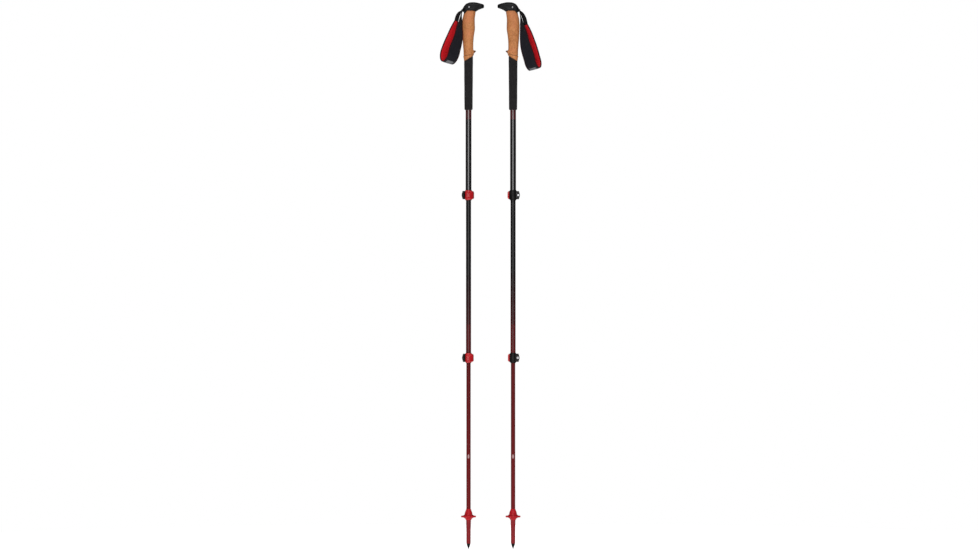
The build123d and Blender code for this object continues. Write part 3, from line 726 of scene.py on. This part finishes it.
def lever(side, level):
    """The finger lever: a curved shell, rounded over at the top and bottom, with a thumb hollow."""
    middle, lever_in, lever_out = LEVERS[level]
    first, last = radians(-132.9), radians(18.0)
    angle = first + (last - first) * np.linspace(0, 1, 84)
    end = smoothstep(radians(19.5), radians(12.0), angle)
    start = smoothstep(radians(-134.5), radians(-130.5), angle)
    lip = np.exp(-(((angle - radians(11.0)) / radians(5.5)) ** 2))
    x = LEVER_HALF_HEIGHT * np.cos(angle)
    half = LEVER_HALF_HEIGHT - 0.0593 * x - 0.01293 * x * x
    half = half * (0.90 + 0.10 * end) * (0.94 + 0.06 * start)
    t = np.sin(np.linspace(-pi / 2, pi / 2, 33))
    inner_t = t[::-1][2:-2:4]
    over = np.clip((np.abs(t) - 0.70) / 0.30, 0, 1)
    drop = 1.75 * (1 - np.sqrt(np.clip(1 - over**2, 0, 1)))
    back = lever_in + 0.06
    rows, shade = [], []
    for i, a in enumerate(angle):
        z = half[i] * t
        hollow = (smoothstep(-0.42, -0.1, cos(a)) * smoothstep(0.86, 0.62, cos(a))
                  * smoothstep(7.8, 5.0, np.abs(z)))
        thick = (lever_out - lever_in) * (0.55 + 0.45 * min(end[i], start[i]))
        outer = lever_in + thick - drop - 0.85 * hollow + 0.9 * lip[i] * smoothstep(1.0, 0.7, np.abs(t))
        outer = np.maximum(outer, lever_in + 0.3)
        ring = [(r * cos(a), r * sin(a), middle + height) for r, height in zip(outer, z)]
        ring += [(back * cos(a), back * sin(a), middle + half[i] * height) for height in inner_t]
        rows.append(ring)
        # the shade here marks the top and bottom edges and the thumb lip for a painted highlight
        edge = smoothstep(0.72, 0.9, np.abs(t)) * 0.6 + 0.8 * lip[i]
        shade.append(list(np.clip(edge, 0, 0.9)) + [0.0] * len(inner_t))
    shape = Shape()
    shape.grid(rows, shade=shade)
    return piece(shape, side, f"{level}_finger_lever", f"{level}_lever", "red_lever",
                 ["red_lever"], f"{level}_lever", subdivide=1)


# ---------------------------------------------------------------- foot
BASKET_LOBES = 6
HUB_RADIUS = 9.0
# the flange's section: share of the way from the hub to the rim, height
FLANGE = [(0.0, 86.5), (0.4, 85.9), (0.75, 85.5), (0.93, 85.3), (1.0, 84.5),
          (1.0, 81.9), (0.93, 81.1), (0.75, 80.9), (0.4, 80.9), (0.0, 80.9)]
# outlines of the gussets under and over the flange: radius, height
GUSSETS = [[(8.6, 78.0), (12.4, 80.3), (14.2, 81.6), (9.4, 82.6)],
           [(8.6, 89.4), (12.4, 86.9), (13.4, 85.4), (9.8, 85.2)]]


def basket(side):
    """The basket: a ringed conical hub and six lobes on a flange, with gussets under and over it."""
    shape = Shape()
    hub = [(6.2, 74.6), (6.8, 74.5), (7.2, 75.0), (8.1, 76.5), (9.6, 79.2), (10.6, 82.2), (10.9, 84.2),
           (10.8, 86.0)]
    for k in range(4):
        up = 3.1 * k
        r, z = 10.6 - 0.105 * up - 0.0185 * up**2, 87.4 + up
        hub += [(r, z), (r - 0.15, z + 1.2), (r - 0.75, z + 1.6), (r - 0.9, z + 2.5)]
    hub += [(6.45, 100.2), (6.2, 101.9), (5.9, 102.7), (5.65, 102.9), (5.65, 74.6)]
    shape.turned(hub, 96)
    angle = around(288)
    lobe = np.cos(angle * BASKET_LOBES)
    rim = 15.6 + 3.4 * smoothstep(-0.65, 0.85, lobe)
    sag = 0.35 * (1 - lobe) / 2
    rows = [polar(HUB_RADIUS + (rim - HUB_RADIUS) * share, angle, z - sag * share * share)
            for share, z in FLANGE]
    shape.grid(rows, loop=True)
    for turn in around(BASKET_LOBES):
        for outline in GUSSETS:
            middle = np.mean(outline, axis=0)
            rows = []
            for y, size in ((-0.95, 0.9), (-0.75, 1.0), (0.75, 1.0), (0.95, 0.9)):
                r, z = (middle + (np.array(outline) - middle) * size).T
                x, y = r * cos(turn) - y * sin(turn), r * sin(turn) + y * cos(turn)
                rows.append(np.stack([x, y, z], axis=-1))
            shape.grid(rows)
    return piece(shape, side, "trekking_basket", "lower_section", "red_basket", ["red_basket"],
                 "basket", sharp=35)


def ferrule(side):
    """The moulded ferrule, fluted where it narrows, with a seam down each flank."""
    shape = Shape()
    profile = [
        (3.2, 14.0), (5.1, 14.0), (5.4, 14.4), (5.48, 15.2), (5.48, 33.0), (5.55, 37.0), (5.75, 49.0),
        (5.95, 54.0), (6.08, 58.0), (6.08, 98.6), (5.9, 99.7), (5.55, 100.0), (5.5, 99.0),
    ]
    fine = []
    for (r0, z0), (r1, z1) in zip(profile, profile[1:]):
        pieces = max(1, int(abs(z1 - z0) / 1.5))
        fine += [(r0 + (r1 - r0) * k / pieces, z0 + (z1 - z0) * k / pieces) for k in range(pieces)]
    fine.append(profile[-1])

    def wobble(angle, z):
        seam = np.exp(-((np.abs(np.sin(angle)) / 0.05) ** 2))
        flute = smoothstep(38, 42, z) * smoothstep(72, 68, z) * np.maximum(0, np.cos(8 * angle)) ** 3
        return 0.016 * seam * smoothstep(14, 17, z) - 0.045 * flute

    shape.turned(fine, 128, wobble=wobble)
    return piece(shape, side, "ferrule", "lower_section", "red_ferrule", ["red_ferrule"],
                 "tip_ferrule", sharp=50)


def tip(side):
    """The black tip, with a small crowned point of hard metal set in its end."""
    shape = Shape()
    shape.turned([(2.9, 24.0), (2.9, 14.0), (4.9, 14.0), (5.0, 13.5), (4.8, 12.3), (4.15, 10.2),
                  (3.45, 8.2), (2.5, 5.4), (1.7, 3.2), (1.25, 2.75)], 48)
    point = [(1.15, 3.2), (1.12, 1.0), (0.95, 0.35), (0.7, 0.08), (0.35, 0.28)]
    shape.turned(point, 24, material=1)
    return piece(shape, side, "tip", "lower_section", "carbide", ["carbide", "carbide_point"],
                 "carbide_tip", sharp=40)


# ---------------------------------------------------------------- wrist strap
MOUTH = (-15.5, 0.0, 1379.0)
PAD_HALF = 16.0
LINING, BAND = 2.5, 1.5
# how far the two faces stop short of the band's edges
SEAM = 1.3
# each strap's depth, the radius of its bottom bend, its turn about the pole, its lean away from it,
# how far down the padding starts and how far its far side stands off there
STRAPS = {
    "left": (141.0, 23.0, -66.0, 16.4, 32.0, 9.0),
    "right": (157.0, 16.0, -67.0, 15.0, 41.0, 11.0),
}
# how far the middle of the near side bows out
NEAR_BOW = 6.5


class Loop:
    """The line between lining and cover: down the near side, round the bottom, up the far side."""

    def __init__(self, depth, bend_r, turn, lean, pad_top, spread):
        self.depth, self.turn, self.pad_top, self.spread = depth, radians(turn), pad_top, spread
        self.drop = depth - bend_r - LINING - BAND
        self.join_r = bend_r + LINING
        self.tilt = asin(bend_r / self.drop)
        self.straight = (self.drop - pad_top - self.join_r * sin(self.tilt)) / cos(self.tilt)
        self.arc = self.join_r * (pi + 2 * self.tilt)
        self.length = 2 * self.straight + self.arc
        self.matrix = np.array(Matrix.Translation(MOUTH) @ Matrix.Rotation(radians(lean), 4, "Y")
                               @ Matrix.Rotation(self.turn, 4, "Z"))

    def hang(self, points):
        """From the strap's frame (apart, across, up) to the pole's frame."""
        return points @ self.matrix[:3, :3].T + self.matrix[:3, 3]

    def at(self, s):
        """Points (apart, up) and outward normals at distances s from the near top."""
        s = np.asarray(s, float)
        turn = np.clip((s - self.straight) / self.join_r, 0, pi + 2 * self.tilt)
        phi = self.tilt - turn
        normal = np.stack([np.cos(phi), np.sin(phi)], axis=-1)
        ahead = np.stack([np.sin(phi), -np.cos(phi)], axis=-1)
        beyond = np.minimum(s - self.straight, 0) + np.maximum(s - self.straight - self.arc, 0)
        point = self.join_r * normal + ahead * beyond[..., None]
        point[..., 1] -= self.drop
        bow = NEAR_BOW * np.sin(pi * np.clip(s / self.straight, 0, 1)) ** 2
        bow = bow + self.spread * smoothstep(self.straight + self.arc, self.length, s)
        return point + normal * bow[..., None], normal

    def half_width(self, up):
        """Half the band's width at a height: narrow where it meets the webbing."""
        knots = [(-1.05 * self.depth, 0.92 * PAD_HALF), (-0.74 * self.depth, PAD_HALF),
                 (-0.43 * self.depth, 0.72 * PAD_HALF), (-self.pad_top, 6.6)]
        return smooth_curve(knots, up)

    def place(self, s, across, out):
        """Points in the pole's frame at s along, across the width and out of the join."""
        point, normal = self.at(s)
        apart = point[..., 0] + normal[..., 0] * out
        up = point[..., 1] + normal[..., 1] * out
        return self.hang(np.stack([apart, across, up], axis=-1))


def weave_at(along, across):
    """The weave attribute, in metres, of places along and across a cloth."""
    return np.stack([along * MM, across * MM, np.zeros_like(along)], axis=-1)


def band_rows(loop, section, steps=230, ends=2.2):
    """A cross-section swept round the loop, rounded over within `ends` of each end of it.

    section(s, half) gives the places across and the heights out of the join of every row.
    """
    s = loop.length * np.linspace(0, 1, steps)
    nearest = np.minimum(s, loop.length - s)
    close = np.sqrt(np.clip(1 - (1 - np.clip(nearest / ends, 0, 1)) ** 2, 0.02, 1))[:, None]
    across, out = section(s, loop.half_width(loop.at(s)[0][:, 1]))
    middle = out.mean(axis=1, keepdims=True)
    out = middle + (out - middle) * close
    across = across * (0.93 + 0.07 * close)
    along = s[:, None] * np.ones_like(across)
    return loop.place(along, across, out), weave_at(along, across)


def face_ring(count):
    """Places round a face, -1 to 1 and back along its hidden side, and which are on the face."""
    ring = np.concatenate([np.linspace(-1, 1, count), np.linspace(1, -1, 9)[1:-1]])
    return ring, np.arange(len(ring)) < count


def bend_share(loop, s):
    """0 on the straight sides of the strap and 1 round its bottom."""
    return smoothstep(loop.straight - 6, loop.straight + 14, np.minimum(s, loop.length - s))


def pad(side, loop):
    """The padded red lining: a foam-filled face that swells between its edge seams."""
    face, on_face = face_ring(41)

    def section(s, half):
        s, reach = s[:, None], half[:, None] - SEAM
        across = reach * face
        gap = reach * (1 - np.abs(face))
        middle = smoothstep(0.5, 5, gap)
        swell = 0.75 + 1.55 * smoothstep(0.0, 5.5, gap) + 0.15 * smoothstep(4, 12, gap)
        fold = bend_share(loop, s) * np.sin(2 * pi * s / 7.3 + 0.9 * np.sin(across / 5.0)) * middle
        uneven = ripple(s / 26.0, across / 17.0, 21) * middle
        swell = swell - 0.22 * (fold + 1) + 0.16 * uneven
        return across, np.where(on_face, -swell, -0.02)

    rows, weave = band_rows(loop, section)
    # painted shade along the face's edges, where it dips into the seams
    edge = 0.75 * np.where(on_face, smoothstep(0.80, 0.97, np.abs(face)), 0)
    shape = Shape()
    shape.grid(rows, weave=weave, shade=edge * np.ones((len(rows), 1)))
    obj = piece(shape, side, "strap_pad", "strap", "strap_lining", ["strap_lining"],
                "strap_lining", mirrored=True, subdivide=1)
    return obj


def cover(side, loop):
    """The black outer face of the band."""
    face, on_face = face_ring(33)

    def section(s, half):
        reach = half[:, None] - SEAM
        across = reach * face
        gap = reach * (1 - np.abs(face))
        uneven = ripple(s[:, None] / 30.0, across / 20.0, 33) * smoothstep(0.5, 4, gap)
        swell = 0.7 + 0.62 * smoothstep(0.0, 4.5, gap) + 0.10 * uneven
        return across, np.where(on_face, swell, 0.02)

    rows, weave = band_rows(loop, section)
    shape = Shape()
    shape.grid(rows, weave=weave)
    obj = piece(shape, side, "strap_cover", "strap", "strap_outer", ["strap_outer"], "strap_band",
                mirrored=True, subdivide=1)
    return obj


def binding(side, loop):
    """Narrow tape folded over both edges of the band and round its two ends."""
    shape = Shape()
    c, s = np.cos(around(20)), np.sin(around(20))
    sideways = np.sign(c) * np.abs(c) ** 0.75
    outwards = np.sign(s) * np.abs(s) ** 0.75
    for edge in (-1, 1):
        def section(s, half):
            puff = 1 + 0.04 * np.sin(2 * pi * s / 3.1)[:, None]
            across = edge * (half[:, None] - 1.35 + 1.42 * sideways)
            return across, -0.15 + 1.12 * puff * outwards

        rows, weave = band_rows(loop, section, ends=1.2)
        shape.grid(rows, weave=weave)
    return piece(shape, side, "strap_binding", "strap", "strap_outer", ["binding"], mirrored=True)


def on_band(loop, s, across, out):
    """A place on the band and the direction out of it there."""
    here = loop.place(np.array([s]), np.array([across]), np.array([out]))[0]
    there = loop.place(np.array([s]), np.array([across]), np.array([out + np.sign(out)]))[0]
    return here, (there - here) / np.linalg.norm(there - here)


def stitch(loop, start, end, out):
    """One stitch's two ends, from places (s, across) on the band, and the way out of the cloth."""
    first, normal = on_band(loop, *start, out)
    return first, on_band(loop, *end, out)[0], normal


def sew(shape, stitches, radius=0.17, material=0):
    """Adds short raised stitches that stand out of the cloth."""
    t = np.array([0.0, 0.12, 0.5, 0.88, 1.0])
    size = np.array([0.25, 0.85, 1.0, 0.85, 0.25]) * radius
    rise = np.array([-0.4, 0.25, 0.5, 0.25, -0.4]) * radius
    for a, b, n in stitches:
        along = (b - a) / np.linalg.norm(b - a)
        sideways = np.cross(n, along)
        rows = []
        for share, thick, lift in zip(t, size, rise):
            centre = a + (b - a) * share + n * lift
            rows.append([centre + thick * (cos(q) * sideways + sin(q) * n) for q in around(6)])
        shape.grid(rows, material=material)


def stitching(side, loop):
    """Lockstitch along both bindings on each face, and a bar tack where the webbing goes in."""
    shape = Shape()
    pitch, length, inset = 2.6, 1.75, 2.15
    for edge in (-1, 1):
        for out in (1.0, -1.28):
            seam = []
            for s in np.arange(4.0, loop.length - 6.0, pitch):
                half = loop.half_width(loop.at(np.array([s, s + length]))[0][:, 1])
                first, last = edge * (half - inset)
                seam.append(stitch(loop, (s, first), (s + length, last), out))
            sew(shape, seam)
    for end, way in ((4.5, 1), (loop.length - 4.5, -1)):
        starts = [end + way * 0.9 * k for k in range(9)]
        tack = [stitch(loop, (s, -4.2), (s + way * 0.45, 4.2), 1.42) for s in starts]
        sew(shape, tack, radius=0.22)
    return piece(shape, side, "strap_stitching", "strap", "strap_outer", ["thread"], mirrored=True)


def label(side, loop):
    """A plain woven patch with a sewn border, outside the bottom bend on its near side."""
    half, border, face_height, pitch, length = 9.9, 1.3, 1.72, 1.5, 1.0
    s = loop.straight + loop.join_r * (loop.tilt + np.radians(np.linspace(42, 78, 25)))
    first, last = s[0], s[-1]
    shape = Shape()

    def patch(s, half, low, high, material):
        face = np.linspace(-1, 1, 17)
        thick = np.concatenate([np.full(17, high), np.full(17, low)])
        close = np.clip(np.minimum(s - s[0], s[-1] - s) / 0.5, 0.15, 1)
        out = low + (thick - low) * close[:, None]
        along = s[:, None] * np.ones(34)
        across = np.concatenate([face, face[::-1]]) * half * np.ones((len(s), 1))
        shape.grid(loop.place(along, across, out), weave=weave_at(along, across), material=material)

    patch(s, half, 1.0, face_height, 1)
    inner = first + border + (last - first - 2 * border) * np.linspace(0, 1, 23)
    patch(inner, half - border, 1.4, 1.86, 0)
    seam = []
    for across in (-half + 0.65, half - 0.65):
        for k in np.arange(first + 0.8, last - 1.6, pitch):
            seam.append(stitch(loop, (k, across), (k + length, across), face_height))
    for k in (first + 0.65, last - 0.65):
        for across in np.arange(-half + 0.9, half - 1.4, pitch):
            seam.append(stitch(loop, (k, across), (k, across + length), face_height))
    sew(shape, seam, radius=0.13, material=2)
    finishes = ["label", "label_edge", "thread"]
    return piece(shape, side, "strap_patch", "strap", "label", finishes, "strap_label",
                 mirrored=True, sharp=50)


def webbing(side, loop):
    """Both strands of webbing, from the eye at the mouth to where they go inside the band."""
    shape = Shape()
    width, thick, eye_radius = 11.2, 1.7, 3.2
    rim = [(-1.0, 0.35), (-0.93, 0.85), (-0.8, 1.0), (-0.4, 1.0), (0.0, 1.0)]
    rim += [(-h, n) for h, n in reversed(rim[:-1])]
    profile = [(h * width / 2, n * thick / 2) for h, n in rim]
    profile += [(h, -n) for h, n in reversed(profile)]
    outwards = np.array([cos(pi - loop.turn), sin(pi - loop.turn), 0.0])
    # which side each strand is on, how far it bows out, and whether it leaves the mouth edge on
    for way, bow, edge_on in ((1, 2.2, True), (-1, 7.6, False)):
        offset = (LINING + BAND / 2) / cos(loop.tilt)
        spread = 0.0 if edge_on else loop.spread
        apart = way * (loop.pad_top * tan(loop.tilt) + offset + spread * cos(loop.tilt))
        end = np.array([apart, 0.0, 2.2 - loop.pad_top + spread * sin(loop.tilt)])
        t = np.linspace(0, 1, 44)[:, None]
        line = 2 * t * (1 - t) * (end * 0.3 + outwards * bow) + t**2 * end
        down = np.array([way * sin(loop.tilt), 0.0, -cos(loop.tilt)])
        inward = np.array([-way * cos(loop.tilt), 0.0, -sin(loop.tilt)])
        extra = np.linspace(0, 1, 9)[1:, None]
        hidden = end + down * 9.0 * extra + inward * 0.7 * smoothstep(0, 1, extra)
        line = np.concatenate([line, hidden])
        share = np.concatenate([t[:, 0], np.ones(len(hidden))])
        ahead = np.gradient(line, axis=0)
        ahead /= np.linalg.norm(ahead, axis=1)[:, None]
        twist = -loop.turn * (1 - share**3 if edge_on else (1 - share) ** 2.2)
        across = np.stack([-np.sin(twist), np.cos(twist), np.zeros_like(twist)], axis=-1)
        across -= ahead * (across * ahead).sum(axis=1)[:, None]
        across /= np.linalg.norm(across, axis=1)[:, None]
        up = np.cross(ahead, across)
        run = np.concatenate([[0], np.cumsum(np.linalg.norm(np.diff(line, axis=0), axis=1))])
        cup = 0.35 * np.sin(pi * share)
        rows, weave = [], []
        for h, n in profile:
            lift = n + cup * (1 - (2 * h / width) ** 2)
            rows.append(line + across * h + up * lift[:, None])
            weave.append(weave_at(run, np.full_like(run, h)))
        shape.grid(loop.hang(np.stack(rows, axis=1)), weave=np.stack(weave, axis=1))
    eye = [(-6.0, 2.5), (-5.9, 3.0), (-5.5, eye_radius), (-2.8, eye_radius), (0.0, eye_radius)]
    eye += [(-y, r) for y, r in reversed(eye[:-1])]
    angle = around(40)
    rows = [[(MOUTH[0] + r * cos(a), y, MOUTH[2] + r * sin(a)) for a in angle] for y, r in eye]
    weave = [weave_at(eye_radius * angle, np.full_like(angle, y)) for y, _ in eye]
    shape.grid(rows, weave=weave)
    return piece(shape, side, "strap_strands", "strap", "webbing", ["webbing"], "strap_webbing",
                 mirrored=True, sharp=70)


for side in SIDES:
    grip_cap(side)
    pin(side)
    cork(side)
    foam(side)
    lever(side, "upper")
    lever(side, "lower")
    basket(side)
    ferrule(side)
    tip(side)
    loop = Loop(*STRAPS[side])
    pad(side, loop)
    cover(side, loop)
    binding(side, loop)
    stitching(side, loop)
    label(side, loop)
    webbing(side, loop)


# ---------------------------------------------------------------- floor, light and camera
def soft_box(name, place, aim, size, radiance, glossy=True):
    """A square lamp whose face has the given brightness, and which shows in reflections or doesn't."""
    lamp = bpy.data.lights.new(name, "AREA")
    lamp.shape = "SQUARE"
    lamp.size = size
    lamp.energy = radiance * pi * size * size
    obj = bpy.data.objects.new(name, lamp)
    obj.location = place
    obj.rotation_euler = (Vector(aim) - Vector(place)).to_track_quat("-Z", "Y").to_euler()
    obj.visible_camera = False
    obj.visible_glossy = glossy
    bpy.context.scene.collection.objects.link(obj)


def floor():
    """A plain pale disc under the tips, in three rings so that it stays smooth to its edge."""
    section = ((50.0, -0.6), (500.0, -0.6), (1700.0, -0.6), (1700.0, -4.0), (50.0, -4.0))
    middle = 1000 * AXIS_X["left"]
    rows = [[(r * cos(a) - middle, r * sin(a), z) for a in around(96)] for r, z in section]
    f = Finish("floor", Roughness=0.9, Specular_IOR_Level=0.1)
    f.set("Base Color", f.ramp(f.noise(3.0, 2.0), (0.3, 0.86), (0.8, 0.9)))
    f.set("Emission Color", (1, 1, 1, 1))
    f.set("Emission Strength", 0.8)
    shape = Shape()
    shape.grid(rows)
    obj = shape.build("floor", "left", [f.material])
    obj.data.shade_flat()


floor()
world = bpy.data.worlds.new("studio")
bpy.context.scene.world = world
world.use_nodes = True
tree = world.node_tree
# the surroundings light the poles faintly, and the camera sees them as plain white
path = tree.nodes.new("ShaderNodeLightPath")
either = tree.nodes.new("ShaderNodeMixShader")
tree.links.new(path.outputs["Is Camera Ray"], either.inputs[0])
glow, seen = tree.nodes["Background"], tree.nodes.new("ShaderNodeBackground")
for place, (node, strength) in enumerate(((glow, 0.10), (seen, 1.0)), start=1):
    node.inputs["Color"].default_value = (1, 1, 1, 1)
    node.inputs["Strength"].default_value = strength
    tree.links.new(node.outputs[0], either.inputs[place])
tree.links.new(either.outputs[0], tree.nodes["World Output"].inputs["Surface"])

soft_box("front_light", (-0.2, -3.4, 1.1), (0, 0, 0.75), 2.3, 5.6)
soft_box("back_light", (0.4, 3.6, 1.3), (0, 0, 0.7), 2.6, 2.2, glossy=False)
soft_box("top_light", (0.2, -0.6, 3.6), (0, 0, 0.7), 2.4, 2.4)

# what the picture spans at the poles, and where its middle is
PICTURE_WIDTH, PICTURE_X, PICTURE_Z = 2.504, -0.0046, 0.7015
camera = bpy.data.cameras.new("camera")
camera.sensor_width = 36.0
camera.lens = 250.0
distance = camera.lens / camera.sensor_width * PICTURE_WIDTH
camera.clip_start, camera.clip_end = 0.1, 200.0
view = bpy.data.objects.new("camera", camera)
view.location = (PICTURE_X, -distance, PICTURE_Z)
view.rotation_euler = (pi / 2, 0, 0)
bpy.context.scene.collection.objects.link(view)
bpy.context.scene.camera = view
bpy.context.scene.view_settings.view_transform = "Standard"
